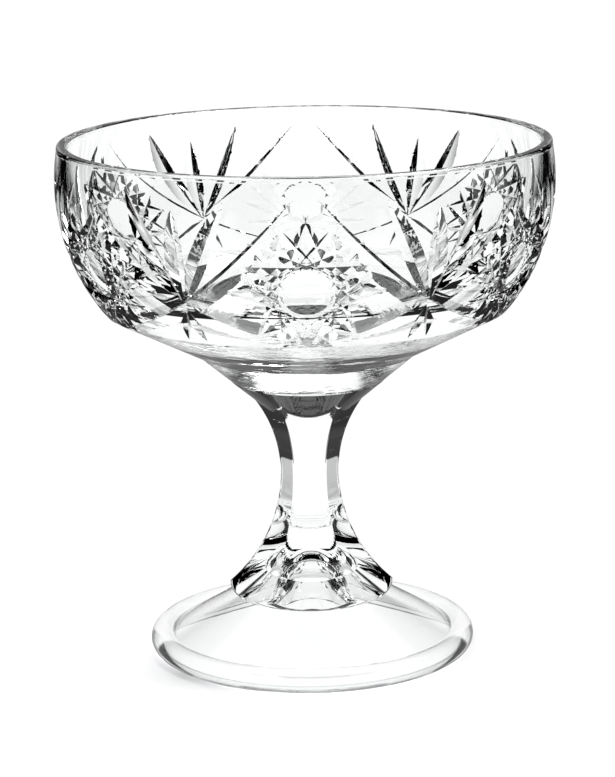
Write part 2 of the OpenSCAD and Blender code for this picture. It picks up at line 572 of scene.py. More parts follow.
@dataclass
class GlassBody:
    """A turned body with a repeating pattern of cuts, worked out for one sector and carried round.

    Attributes:
        profile: The turned profile.
        cuts: The cuts that reach into one sector.
        cut_runs: The numbers of the runs that are cut.
        stop: A face that no cut passes, or None.
        columns: The number of columns of vertices in a sector.
        ease: How far each way along the profile the inward direction is averaged.
    """

    profile: Profile
    columns: int
    cuts: list[Cut] = field(default_factory=list)
    cut_runs: tuple[int, ...] = ()
    stop: Flank | None = None
    ease: float = 0.0

    SAMPLES = (-0.375, -0.125, 0.125, 0.375)
    EASE_SAMPLES = 7
    HOLD = 0.15
    FURTHEST = 0.8

    def surface(self, azimuth: np.ndarray, length: np.ndarray) -> tuple[np.ndarray, np.ndarray]:
        """Gives the glass surface over places given by azimuth and length along the profile.

        Each place starts on the turned surface. The deepest cut there carries it inwards, as far as the
        nearer of that cut's flanks, and never past the stop.

        Args:
            azimuth: Azimuths from the front, in radians, growing anticlockwise from above.
            length: Lengths along the profile.

        Returns:
            The places, and for each a label: its run's number, or the number of runs plus its flank's number.
        """
        flat, _, run = self.profile.walk(length)
        steps = self.ease * np.linspace(-1, 1, self.EASE_SAMPLES) if self.ease else np.zeros(1)
        lean = sum(self.profile.walk(length + step)[1] for step in steps)
        lean = lean / np.linalg.norm(lean, axis=-1)[:, None]
        spin = np.stack([np.sin(azimuth), -np.cos(azimuth)], -1)
        place = np.concatenate([flat[:, :1] * spin, flat[:, 1:]], -1)
        inward = -np.concatenate([lean[:, :1] * spin, lean[:, 1:]], -1)
        depth, label = np.zeros(len(place)), run.copy()
        number = len(self.profile.runs)
        open_side = np.isin(run, self.cut_runs)
        for cut in self.cuts:
            near = cut.near(place, open_side)
            if len(near):
                gone = np.stack([f.depth(place[near], inward[near]) for f in cut.flanks])
                side = gone.argmin(0)
                least = gone.min(0)
                deeper = least > depth[near]
                depth[near[deeper]] = least[deeper]
                label[near[deeper]] = number + side[deeper]
            number += len(cut.flanks)
        if self.stop is not None:
            above = np.flatnonzero(open_side & ((place - self.stop.centre) @ self.stop.axis > 0))
            limit = self.stop.depth(place[above], inward[above])
            past = depth[above] > limit
            depth[above[past]] = limit[past]
            label[above[past]] = number
        return place + depth[:, None] * inward, label

    def facing(self, label: np.ndarray, places: np.ndarray) -> np.ndarray:
        """Gives the direction that faces the air at places on a run or flank.

        A flank's is out * (the direction away from its axis) + along * axis, at unit length.

        Args:
            label: Labels, as surface gives them.
            places: Places in space.

        Returns:
            One unit vector for each place.
        """
        shape = places.shape
        label, places = label.reshape(-1), places.reshape(-1, 3)
        runs = len(self.profile.runs)
        out = self.profile.facing(np.minimum(label, runs - 1), places)
        flanks = [f for cut in self.cuts for f in cut.flanks] + ([self.stop] if self.stop else [])
        if flanks:
            which = np.clip(label - runs, 0, len(flanks) - 1)
            centre = np.array([f.centre for f in flanks])[which]
            axis = np.array([f.axis for f in flanks])[which]
            lean_out = np.array([f.out for f in flanks])[which, None]
            lean_along = np.array([f.along for f in flanks])[which, None]
            spoke = places - centre
            across = spoke - (spoke * axis).sum(-1)[:, None] * axis
            across = across / np.maximum(np.linalg.norm(across, axis=-1), TINY)[:, None]
            slope = lean_out * across + lean_along * axis
            slope = slope / np.linalg.norm(slope, axis=-1)[:, None]
            out = np.where((label >= runs)[:, None], slope, out)
        return out.reshape(shape)

    def vertices(self) -> tuple[np.ndarray, np.ndarray]:
        """Works out one vertex for each cell of a sector, on an edge of the pattern where the cell has one.

        A cell's samples each give a place p and a facing direction f, and so a plane. The vertex v is the
        place with the least sum of (f.v - f.p)^2 over the samples + hold * (v - m)^2, where m is the
        surface's place at the cell's middle. It stays within the furthest share of the cell's size from m.

        Returns:
            The vertices by station and column, and the labels of the four samples in each cell's corners.
        """
        s = self.profile.stations
        low = np.concatenate([s[:1], (s[1:] + s[:-1]) / 2])
        high = np.concatenate([(s[1:] + s[:-1]) / 2, s[-1:]])
        step = 2 * math.pi / SECTORS / self.columns
        middle = (np.arange(self.columns) - self.columns // 2) * step
        rows, cols, n = len(s), self.columns, len(self.SAMPLES)
        share = np.array(self.SAMPLES)
        length = low[:, None] + (high - low)[:, None] * (share + 0.5)
        azimuth = middle[:, None] + step * share
        grid_s = np.broadcast_to(length[:, None, :, None], (rows, cols, n, n))
        grid_a = np.broadcast_to(azimuth[None, :, None, :], (rows, cols, n, n))
        place, label = self.surface(grid_a.reshape(-1), grid_s.reshape(-1))
        own, _ = self.surface(np.tile(middle, rows), np.repeat(s, cols))
        facing = self.facing(label, place).reshape(rows * cols, n * n, 3)
        place = place.reshape(rows * cols, n * n, 3)
        label = label.reshape(rows * cols, n * n)
        mixed = np.flatnonzero((label != label[:, :1]).any(1))
        face, at = facing[mixed], place[mixed]
        a = np.einsum("kij,kil->kjl", face, face) + self.HOLD * np.eye(3)
        b = np.einsum("kij,ki->kj", face, (face * at).sum(-1)) + self.HOLD * own[mixed]
        solved = np.linalg.solve(a, b[..., None])[..., 0]
        size = np.linalg.norm(at.max(1) - at.min(1), axis=-1)
        move = solved - own[mixed]
        far = np.linalg.norm(move, axis=-1)
        own[mixed] += move * np.minimum(1.0, self.FURTHEST * size / np.maximum(far, TINY))[:, None]
        label = label.reshape(rows, cols, n, n)
        return own.reshape(rows, cols, 3), label[:, :, [0, 0, -1, -1], [0, -1, 0, -1]]

    def skin(self) -> Skin:
        """Joins the vertices of all the sectors into a closed skin.

        Each corner between four cells gives two triangles. Of the two ways to split them, the one whose
        triangles lie closer to the faces of the glass is taken.

        Returns:
            The skin.
        """
        place, label = self.vertices()
        rows, cols = place.shape[:2]
        turn = 2 * math.pi / SECTORS
        cos, sin = math.cos(turn), math.sin(turn)
        back = np.array([[cos, sin, 0], [-sin, cos, 0], [0, 0, 1.0]])
        wrap = np.concatenate([(place[:, -1:] @ back.T), place], 1)
        wrap_label = np.concatenate([label[:, -1:], label], 1)
        quad = np.stack([wrap[:-1, :-1], wrap[:-1, 1:], wrap[1:, 1:], wrap[1:, :-1]], 2)
        near = np.stack(
            [
                wrap_label[:-1, :-1, 3],
                wrap_label[:-1, 1:, 2],
                wrap_label[1:, 1:, 0],
                wrap_label[1:, :-1, 1],
            ],
            -1,
        )
        splits = np.array([[[0, 1, 2], [0, 2, 3]], [[0, 1, 3], [1, 2, 3]]])
        tri = quad[:, :, splits]
        cross = np.cross(tri[..., 1, :] - tri[..., 0, :], tri[..., 2, :] - tri[..., 0, :])
        area = np.linalg.norm(cross, axis=-1)
        lean = cross / np.maximum(area, TINY)[..., None]
        centre = tri.mean(-2)
        ways = [np.broadcast_to(near[..., k, None, None], area.shape) for k in range(near.shape[-1])]
        fit = np.stack([(self.facing(way, centre) * lean).sum(-1) for way in ways], -1)
        best = fit.argmax(-1)
        loss = (area * (1 - fit.max(-1))).sum(-1)
        pick = (loss[..., 1] < loss[..., 0] - TINY).astype(int)
        i, j = np.meshgrid(np.arange(rows - 1), np.arange(cols), indexing="ij")
        choices = near[:, :, None, :].repeat(2, 2)
        tri_label = np.take_along_axis(choices, best[i, j, pick][..., None], -1)[..., 0]
        corner = splits[pick]
        at = quad[i[..., None, None], j[..., None, None], corner]
        facing = self.facing(np.broadcast_to(tri_label[..., None], at.shape[:-1]), at)

        # The first and last stations are single vertices on the axis, and the others are whole rings.
        total, rings = cols * SECTORS, rows - 2
        first, last = np.zeros((1, total), int), np.full((1, total), rings * total + 1)
        number = np.concatenate([first, 1 + np.arange(rings * total).reshape(rings, total), last])
        spins = [np.linalg.matrix_power(back.T, k) for k in range(SECTORS)]
        ring = np.stack([place[1:-1] @ spin.T for spin in spins], 1).reshape(rings, total, 3)
        places = np.concatenate([place[:1, 0], ring.reshape(-1, 3), place[-1:, 0]])
        corners, facings, labels = [], [], []
        for k, spin in enumerate(spins):
            col = np.arange(cols) + k * cols
            before = (col - 1) % total
            four = np.stack(
                [number[:-1, before], number[:-1, col], number[1:, col], number[1:, before]], -1
            )
            corners.append(four[i[..., None, None], j[..., None, None], corner].reshape(-1, 3))
            facings.append((facing @ spin.T).reshape(-1, 3, 3))
            labels.append(tri_label.reshape(-1))
        corners, facings, labels = (np.concatenate(x) for x in (corners, facings, labels))
        whole = (corners != np.roll(corners, 1, axis=1)).all(1)
        return Skin(places, corners[whole], facings[whole], labels[whole])


# The pieces


@dataclass
class PressedBowl:
    """The pressed bowl: smooth inside, with diamonds, hobstars and fans cut outside.

    Lengths are in millimetres, and azimuths and angles in degrees. The diagonals run from the top point down
    to the side corners, without the share of their way that the fade gives, so that they don't quite meet.
    """

    seat_z: float = 116.0
    seat_r: float = 32.0
    bond_r: float = 31.0
    base_edge: Point = (46.5, 128.3)
    wall_centre: Point = (19.0, 200.0)
    wall_curve_r: float = 83.6
    turn_z: float = 147.5
    rim_z: float = 216.4
    rim_wall: float = 4.6
    lip_round: float = 1.2
    cavity_z: float = 202.0
    cavity_r: float = 69.0
    top_point_z: float = 213.0
    fade: float = 0.06
    side_corner_z: float = 164.5
    diagonal_depth: float = 1.9
    diagonal_angle: float = 112.0
    run_out_az: float = 5.0
    leaf_depth: float = 2.4
    leaf_angle: float = 122.0
    leaf_spread_az: float = 12.5
    side_leaf_z: float = 209.0
    middle_leaf_z: float = 204.0
    leaf_tail: float = 3.0
    tail_length: float = 22.0
    tail_angle: float = 14.0
    tail_depth: float = 1.2
    button_z: float = 171.8
    button_r: float = 10.3
    button_depth: float = 1.2
    button_angle: float = 50.0
    star_tip_r: float = 33.0
    star_ring_r: float = 11.0
    star_points: int = 16
    star_depth: float = 1.8
    star_angle: float = 124.0
    columns: int = 100
    ease: float = 8.0
    crystal: PressedCrystal = PressedCrystal()
    # The chill of the band is finer than this. It is drawn deep enough for its streaks to show.
    band: PressedCrystal = PressedCrystal(
        name="pressed_crystal_chilled_band", ripple_mm=10.0, ripple_depth_mm=0.3, stretch=7.0
    )
    bonded: BondedFace = BondedFace()

    # Numbers of the profile's runs
    BONDED_RUN = 0
    CHILLED_RUNS = (2, 3)
    CUT_RUNS = (3, 4, 5)

    def wall_r(self, z: float) -> float:
        """Gives the outer wall's radius at a height."""
        return self.wall_centre[0] + math.sqrt(self.wall_curve_r**2 - (z - self.wall_centre[1]) ** 2)

    def profile(self) -> Profile:
        """Gives the bowl's turned profile, from the middle of the seat round to the middle of the floor."""
        lip_z = self.rim_z - self.rim_wall / 2
        lip_r = self.wall_r(lip_z)
        inner_r = lip_r - self.rim_wall
        lip = self.lip_round
        lip_top = self.rim_z - lip
        cavity_x = inner_r - math.sqrt(self.cavity_r**2 - (lip_z - self.cavity_z) ** 2)
        turn = (self.wall_r(self.turn_z), self.turn_z)
        floor = (cavity_x, self.cavity_z - self.cavity_r)
        return Profile(
            [
                Run((0.0, self.seat_z), (self.bond_r, self.seat_z), 3),
                Run((self.bond_r, self.seat_z), (self.seat_r, self.seat_z), 1),
                Run((self.seat_r, self.seat_z), self.base_edge, 6),
                Run(self.base_edge, turn, 30),
                Run(turn, (lip_r, lip_z), 80, self.wall_centre),
                Run((lip_r, lip_z), (lip_r, lip_top), 2),
                Run((lip_r, lip_top), (lip_r - lip, self.rim_z), 4, (lip_r - lip, lip_top)),
                Run((lip_r - lip, self.rim_z), (inner_r + lip, self.rim_z), 3),
                Run((inner_r + lip, self.rim_z), (inner_r, lip_top), 4, (inner_r + lip, lip_top)),
                Run((inner_r, lip_top), (inner_r, lip_z), 2),
                Run((inner_r, lip_z), floor, 22, (cavity_x, self.cavity_z)),
                Run(floor, (0.0, floor[1]), 4),
            ]
        )

    def at(self, azimuth: float, z: float, depth: float = 0.0) -> np.ndarray:
        """Gives a place on the outer wall, or a depth below it, from its azimuth in degrees and height."""
        lift = math.asin((z - self.wall_centre[1]) / self.wall_curve_r)
        reach = self.wall_curve_r - depth
        r = self.wall_centre[0] + reach * math.cos(lift)
        height = self.wall_centre[1] + reach * math.sin(lift)
        turn = math.radians(azimuth)
        return np.array([r * math.sin(turn), -r * math.cos(turn), height])

    def beside(self, azimuth: float, z: float, right: float, up: float) -> Point:
        """Gives the azimuth and height of the place some way to the right and up along the wall."""
        lift = math.asin((z - self.wall_centre[1]) / self.wall_curve_r) + up / self.wall_curve_r
        return (
            azimuth + math.degrees(right / self.wall_r(z)),
            self.wall_centre[1] + self.wall_curve_r * math.sin(lift),
        )

    def groove(self, start: Point, end: Point, depth: float, angle: float) -> Cut:
        """Makes a mitre cut from one place on the wall to another, square to the wall and deepest half way.

        Args:
            start: Azimuth and height of one end.
            end: Azimuth and height of the other end.
            depth: The depth of the keel under the wall, half way.
            angle: The angle between the flanks, in degrees.

        Returns:
            The cut.
        """
        p, q = self.at(*start), self.at(*end)
        half_way = (p + q) / 2
        turn = math.degrees(math.atan2(half_way[0], -half_way[1]))
        r = math.hypot(half_way[0], half_way[1])
        lift = math.atan2(half_way[2] - self.wall_centre[1], r - self.wall_centre[0])
        over = self.at(turn, self.wall_centre[1] + self.wall_curve_r * math.sin(lift))
        outward, along = unit(over - half_way), unit(q - p)
        outward = unit(outward - (outward @ along) * along)
        return mitre_cut(p, half_way + ((over - half_way) @ outward - depth) * outward, q, angle)

    def diagonals(self) -> list[Cut]:
        """Makes the long grooves that pass through one sector, from below top points across side corners."""
        half, whole = HALF_SECTOR, 2 * HALF_SECTOR
        fade_z = self.top_point_z + self.fade * (self.side_corner_z - self.top_point_z)
        return [
            mitre_cut(
                self.at(az + way * half * self.fade, fade_z),
                self.at(az + way * half, self.side_corner_z, self.diagonal_depth),
                self.at(az + way * (whole + self.run_out_az), self.turn_z),
                self.diagonal_angle,
            )
            for az, way in ((0, -1), (0, 1), (-whole, 1), (whole, -1))
        ]

    def fans(self) -> list[Cut]:
        """Makes the three leaves above and the two short cuts below each side corner of the sector."""
        cuts = []
        for az in (-HALF_SECTOR, HALF_SECTOR):
            for leaf in (-1, 0, 1):
                tip = (az + leaf * self.leaf_spread_az, self.side_leaf_z if leaf else self.middle_leaf_z)
                across = -leaf * math.radians(self.leaf_spread_az) * self.wall_r(tip[1])
                down = unit(np.array([across, self.side_corner_z - tip[1]])) * self.leaf_tail
                foot = self.beside(az, self.side_corner_z, down[0], down[1])
                cuts.append(self.groove(tip, foot, self.leaf_depth, self.leaf_angle))
            lean = math.radians(self.tail_angle)
            for way in (-1, 1):
                top, low = self.leaf_tail, self.tail_length - self.leaf_tail
                start = self.beside(az, self.side_corner_z, -way * top * math.sin(lean), top * math.cos(lean))
                end = self.beside(az, self.side_corner_z, way * low * math.sin(lean), -low * math.cos(lean))
                cuts.append(self.groove(start, end, self.tail_depth, self.leaf_angle))
        return cuts

    def star(self) -> list[Cut]:
        """Makes the hobstar: chords that touch a ring and cross to form the points, round a clear button."""
        half = math.sqrt(self.star_tip_r**2 - self.star_ring_r**2)
        button = self.at(0, self.button_z)
        cuts = []
        for i in range(self.star_points):
            turn = 2 * math.pi * i / self.star_points
            touch = self.star_ring_r * np.array([math.cos(turn), math.sin(turn)])
            run = half * np.array([-math.sin(turn), math.cos(turn)])
            start = self.beside(0, self.button_z, *(touch - run))
            end = self.beside(0, self.button_z, *(touch + run))
            chord = self.groove(start, end, self.star_depth, self.star_angle)
            cuts.append(replace(chord, spared=button, spared_r=self.button_r))
        keel = self.at(0, self.button_z, self.button_depth)
        cuts.append(ring_cut(keel, unit(button - keel), self.button_r, self.button_angle))
        return cuts

    def build(self) -> bpy.types.Object:
        """Builds the bowl and dresses it.

        Returns:
            The bowl, which takes the place of the CAD node bowl, now hidden.
        """
        cuts = self.diagonals() + self.fans() + self.star()
        body = GlassBody(self.profile(), self.columns, cuts, self.CUT_RUNS, ease=self.ease)
        marked = {self.BONDED_RUN: self.bonded.material()}
        marked |= dict.fromkeys(self.CHILLED_RUNS, self.band.material())
        piece = body.skin().to_object("crystal_bowl", self.crystal.material(), marked)
        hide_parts("bowl")
        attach(piece, "root")
        return piece


@dataclass
class PressedPedestal:
    """The pressed pedestal: six-sided stem, round collar, hollow skirt and beaded foot.

    Lengths are in millimetres and angles in degrees.
    """

    height: float = 115.8
    seat_r: float = 32.0
    bond_r: float = 31.0
    waist_flat: float = 11.0
    waist_z: float = 76.0
    upper_curve_r: float = 58.0
    lower_curve_r: float = 70.0
    arris_r: float = 3.0
    arris_faces: tuple[float, ...] = (-20.0, -10.0, 0.0, 10.0, 20.0)
    arris_flare: float = 0.75
    collar_r: float = 34.4
    collar_z: float = 23.5
    collar_round: float = 4.5
    collar_rest: float = 1.0
    foot_r: float = 68.4
    bead_r: float = 5.0
    ground_depth: float = 0.3
    skirt_edge_z: float = 6.5
    skirt_t: float = 4.6
    hollow_z: float = 40.0
    dome_r: float = 14.0
    flare_angle: float = 40.3
    columns: int = 72
    crystal: PressedCrystal = PressedCrystal()
    bonded: BondedFace = BondedFace()

    # Numbers of the profile's runs
    BONDED_RUN = 11
    CUT_RUNS = (8, 9)

    def profile(self) -> Profile:
        """Gives the pedestal's turned profile, from the top of the hollow round the foot to the seat."""
        bead = (self.foot_r - self.bead_r, self.bead_r - self.ground_depth)
        skirt_r, skirt_top_r = bead[0] - self.bead_r / 2, self.collar_r - self.collar_round / 2
        slope = (self.collar_z - self.skirt_edge_z) / (skirt_r - skirt_top_r)

        def over(r: float) -> float:
            """Gives the skirt's upper height at a radius."""
            return self.skirt_edge_z + (skirt_r - r) * slope

        under = over(self.dome_r) - self.skirt_t
        rise = self.hollow_z - under
        dome = (self.dome_r**2 + rise**2) / (2 * rise)
        ground = math.sqrt(self.bead_r**2 - bead[1] ** 2)
        valley = line_meets_circle((skirt_r, self.skirt_edge_z), (-1.0, slope), bead, self.bead_r)
        collar = (self.collar_r - self.collar_round, self.collar_z + self.collar_round)
        neck = line_meets_circle((skirt_top_r, self.collar_z), (-1.0, slope), collar, self.collar_round)
        hem = line_meets_circle((self.dome_r, under), (1.0, -slope), bead, self.bead_r)
        return Profile(
            [
                Run((0.0, self.hollow_z), (self.dome_r, under), 10, (0.0, self.hollow_z - dome)),
                Run((self.dome_r, under), hem, 24),
                Run(hem, (bead[0] - ground, 0.0), 6, bead),
                Run((bead[0] - ground, 0.0), (bead[0] + ground, 0.0), 2),
                Run((bead[0] + ground, 0.0), (self.foot_r, bead[1]), 6, bead),
                Run((self.foot_r, bead[1]), (bead[0], bead[1] + self.bead_r), 8, bead),
                Run((bead[0], bead[1] + self.bead_r), valley, 5, bead),
                Run(valley, neck, 24),
                Run(neck, (self.collar_r, collar[1]), 14, collar),
                Run((self.collar_r, collar[1]), (self.collar_r, self.height), 90),
                Run((self.seat_r, self.height), (self.bond_r, self.height), 1),
                Run((self.bond_r, self.height), (0.0, self.height), 4),
            ]
        )

    def flats(self) -> list[Cut]:
        """Makes the stem's wheel cuts in one sector, and the narrow faces that round its arrises.

        A face turned by a from an arris has k = cos(a) / cos(half a sector), which is 1 for a flat. It lies
        at k * flat + (1 - k) * arris radius from the axis at the waist. An arris flares faster than a flat
        does, so the radius of the face's curve is divided by k to the power of the arris flare.

        Returns:
            The cuts, above and below the waist.
        """
        half = HALF_SECTOR
        faces = [(turn, half) for turn in (-2 * half, 0.0, 2 * half)]
        faces += [(arris + lean, lean) for arris in (-half, half) for lean in self.arris_faces]
        cuts = []
        for turn, lean in faces:
            out = np.array([math.sin(math.radians(turn)), -math.cos(math.radians(turn)), 0.0])
            axis = np.array([out[1], -out[0], 0.0])
            k = math.cos(math.radians(lean)) / math.cos(math.radians(half))
            waist = k * self.waist_flat + (1 - k) * self.arris_r
            for curve_r, low, high in (
                (self.upper_curve_r, self.waist_z, math.inf),
                (self.lower_curve_r, self.collar_z + self.collar_rest, self.waist_z),
            ):
                radius = curve_r * k**-self.arris_flare
                centre = (waist + radius) * out + np.array([0, 0, self.waist_z])
                wheel = Flank(centre, axis, radius, -1.0, 0.0)
                cuts.append(Cut((wheel,), centre, math.inf, low, high))
        return cuts

    def build(self) -> bpy.types.Object:
        """Builds the pedestal and dresses it.

        Returns:
            The pedestal, which takes the place of the CAD node pedestal, now hidden.
        """
        slant = math.tan(math.radians(self.flare_angle))
        apex = np.array([0.0, 0.0, self.height - self.seat_r * slant])
        flare = Flank(apex, np.array([0.0, 0.0, 1.0]), 0.0, 1.0, -1 / slant)
        body = GlassBody(self.profile(), self.columns, self.flats(), self.CUT_RUNS, flare)
        marked = {self.BONDED_RUN: self.bonded.material()}
        piece = body.skin().to_object("crystal_pedestal", self.crystal.material(), marked)
        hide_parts("pedestal")
        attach(piece, "root")
        return piece


@dataclass
class BondFilm:
    """The thin film of cured adhesive between the pedestal and the bowl. Lengths in millimetres."""

    radius: float = 31.0
    low: float = 115.8
    high: float = 116.0
    columns: int = 20
    bond: CuredAdhesive = CuredAdhesive()
    bonded: BondedFace = BondedFace()

    # Numbers of the profile's runs
    BONDED_RUNS = (0, 2)

    def build(self) -> bpy.types.Object:
        """Builds the film and dresses it.

        Returns:
            The film, which takes the place of the CAD node bond_film, now hidden.
        """
        profile = Profile(
            [
                Run((0.0, self.low), (self.radius, self.low), 3),
                Run((self.radius, self.low), (self.radius, self.high), 2),
                Run((self.radius, self.high), (0.0, self.high), 3),
            ]
        )
        marked = dict.fromkeys(self.BONDED_RUNS, self.bonded.material())
        skin = GlassBody(profile, self.columns).skin()
        piece = skin.to_object("adhesive_film", self.bond.material(), marked)
        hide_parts("bond_film")
        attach(piece, "root")
        return piece


# The studio


class Ground(Enum):
    """The two surroundings of the set, and the name of each in Blender."""

    FLOOR = "studio_floor"
    ROOM = "studio_room"


@dataclass(frozen=True)
class Paper:
    """A strip of paper on one side of the glass, which widens away from it. Angles are in degrees.

    A white sweep lies between black flags, from the table out to its reach, and may rise behind. A grey card
    lies on the table, from its reach outwards.

    Attributes:
        azimuth: The way that it lies from the glass, from +Y towards +X.
        half_angle: Half the angle that it takes up, seen from the glass.
        reach_m: The distance from the axis where a sweep ends or a card starts.
        height: The angle above the horizon up to which a sweep rises, or 0.
        feather: The width of its soft edges.
    """

    azimuth: float
    half_angle: float
    reach_m: float
    height: float
    feather: float = 6.0

    def patch(
        self,
        tree: bpy.types.NodeTree,
        level: bpy.types.NodeSocket,
        measure: bpy.types.NodeSocket,
        none: float,
        full: float,
    ) -> bpy.types.NodeSocket:
        """Adds nodes that give how much of the strip there is at a place, from 0 to 1.

        The dot product of the level unit vector and the strip's own direction is the cosine of the angle
        between them. The value is the product of two smooth steps: one of that cosine over the feathered
        edge, and one of the measure.

        Args:
            tree: The node tree.
            level: A horizontal unit vector.
            measure: The distance from the axis, or the rise above the horizon.
            none: The measure that gives 0.
            full: The measure that gives 1.

        Returns:
            The socket that holds the value.
        """
        turn = math.radians(self.azimuth)
        near = add_node(
            tree,
            "ShaderNodeVectorMath",
            {"operation": "DOT_PRODUCT"},
            {1: (math.sin(turn), math.cos(turn), 0.0)},
            {0: level},
        )
        outer, inner = (math.cos(math.radians(self.half_angle + k * self.feather)) for k in (1, 0))
        edges = ((near.outputs["Value"], outer, inner), (measure, none, full))
        steps = [
            add_node(tree, "ShaderNodeMapRange", SMOOTH, {"From Min": a, "From Max": b}, {"Value": value})
            for value, a, b in edges
        ]
        both = add_node(
            tree,
            "ShaderNodeMath",
            {"operation": "MULTIPLY"},
            links={number: step.outputs["Result"] for number, step in enumerate(steps)},
        )
        return both.outputs[0]


@dataclass
class Studio:
    """A white table between black flags, a white ceiling, one soft lamp, and the camera.

    Lengths are in metres, the camera's turns in radians and other angles in degrees.

    Attributes:
        floor_r: The radius of the floor.
        floor_sides: The number of sides of the floor's outline.
        floor_colour: The floor as the camera sees it.
        black: The flags.
        white: The paper.
        table_r: The radius of the white table.
        table_edge: The width of the soft edges of the table and the sweeps.
        ceiling_from: The angle above the horizon where the ceiling starts to be white.
        ceiling_full: The angle above the horizon from where the ceiling is all white.
        seen_through: The brightness of paper that is seen through the glass.
        mirrored: The brightness of paper that the glass mirrors.
        cards: The grey cards on the table.
        card_shade: The share of the light that a card takes away.
        card_edge: The width of the soft near edge of a card.
        sweeps: The white sweeps.
        eye: The camera's place.
        pitch: How far the camera looks down.
        yaw: How far the camera looks to the right.
        roll: How far the camera is rolled.
        lens_mm: The focal length in millimetres.
        sensor_mm: The sensor's width in millimetres.
        clip: The nearest and furthest distances that the camera sees.
        sun_strength: The strength of the lamp.
        sun_angle: The angle that the lamp takes up in the sky.
        sun_way: The way that the lamp shines, so that the shadow falls to the front left.
        room_glow: The brightness of the room to the floor.
        bounces: The most bounces of a ray, enough for light to leave the glass.
    """

    floor_r: float = 12.0
    floor_sides: int = 96
    floor_colour: str = "#F2F2F2"
    black: str = "#08080A"
    white: str = "#FFFFFF"
    table_r: float = 0.46
    table_edge: float = 0.12
    ceiling_from: float = 40.0
    ceiling_full: float = 50.0
    seen_through: float = 1.12
    mirrored: float = 0.35
    cards: tuple[Paper, ...] = (Paper(42.0, 4.0, 0.07, 0.0, 4.0), Paper(-42.0, 4.0, 0.07, 0.0, 4.0))
    card_shade: float = 0.5
    card_edge: float = 0.03
    sweeps: tuple[Paper, ...] = (
        Paper(0.0, 20.0, 12.0, 30.0),
        Paper(90.0, 11.0, 12.0, 5.0),
        Paper(-90.0, 11.0, 12.0, 5.0),
        Paper(180.0, 11.0, 12.0, 5.0),
        Paper(135.0, 11.0, 1.3, 0.0),
        Paper(-135.0, 11.0, 1.3, 0.0),
        Paper(45.0, 12.0, 0.64, 0.0),
        Paper(-45.0, 12.0, 0.64, 0.0),
    )
    eye: tuple[float, float, float] = (0.0, -1.1444, 0.3852)
    pitch: float = 0.2350
    yaw: float = -0.0003
    roll: float = -0.0166
    lens_mm: float = 130.52
    sensor_mm: float = 36.0
    clip: tuple[float, float] = (0.05, 100.0)
    sun_strength: float = 1.9
    sun_angle: float = 24.0
    sun_way: tuple[float, float, float] = (-0.45, -0.35, -1.0)
    room_glow: float = 0.62
    bounces: int = 24

    def camera(self) -> None:
        """Makes the camera, which looks along +Y and a little down, with the photograph's small roll."""
        data = bpy.data.cameras.new("camera")
        data.sensor_width, data.lens = self.sensor_mm, self.lens_mm
        data.clip_start, data.clip_end = self.clip
        camera = bpy.data.objects.new("camera", data)
        cy, sy = math.cos(self.yaw), math.sin(self.yaw)
        cp, sp = math.cos(self.pitch), math.sin(self.pitch)
        forward = Vector((sy * cp, cy * cp, -sp))
        right = forward.cross(Vector((0, 0, 1))).normalized()
        up = right.cross(forward)
        cr, sr = math.cos(self.roll), math.sin(self.roll)
        right, up = right * cr + up * sr, up * cr - right * sr
        basis = Matrix((right, up, -forward)).transposed().to_4x4()
        camera.matrix_world = Matrix.Translation(self.eye) @ basis
        bpy.context.scene.collection.objects.link(camera)
        bpy.context.scene.camera = camera

    def level_vector(
        self, tree: bpy.types.NodeTree, vector: bpy.types.NodeSocket
    ) -> tuple[bpy.types.NodeSocket, bpy.types.NodeSocket]:
        """Adds nodes that give the horizontal part of a vector as a unit vector, and its length.

        Args:
            tree: The node tree.
            vector: The vector.

        Returns:
            The sockets of the unit vector and the length.
        """
        flat = add_node(
            tree, "ShaderNodeVectorMath", {"operation": "MULTIPLY"}, {1: (1.0, 1.0, 0.0)}, {0: vector}
        )
        level, size = (
            add_node(tree, "ShaderNodeVectorMath", {"operation": operation}, links={0: flat.outputs[0]})
            for operation in ("NORMALIZE", "LENGTH")
        )
        return level.outputs[0], size.outputs["Value"]

    def paper(
        self, tree: bpy.types.NodeTree, lit: bpy.types.NodeSocket, path: bpy.types.Node
    ) -> dict[str | int, bpy.types.NodeSocket]:
        """Adds nodes that give the colour and brightness of paper and flags as the glass shows them.

        Args:
            tree: The node tree.
            lit: 1 on white paper and 0 on a black flag.
            path: The tree's light path node.

        Returns:
            The links of the shader that shines.
        """
        colour = add_node(
            tree,
            "ShaderNodeMix",
            {"data_type": "RGBA"},
            {6: linear(self.black), 7: linear(self.white)},
            {0: lit},
        )
        strength = add_node(
            tree,
            "ShaderNodeMapRange",
            values={"To Min": self.seen_through, "To Max": self.mirrored},
            links={"Value": path.outputs["Is Reflection Ray"]},
        )
        return {"Color": colour.outputs[2], "Strength": strength.outputs["Result"]}

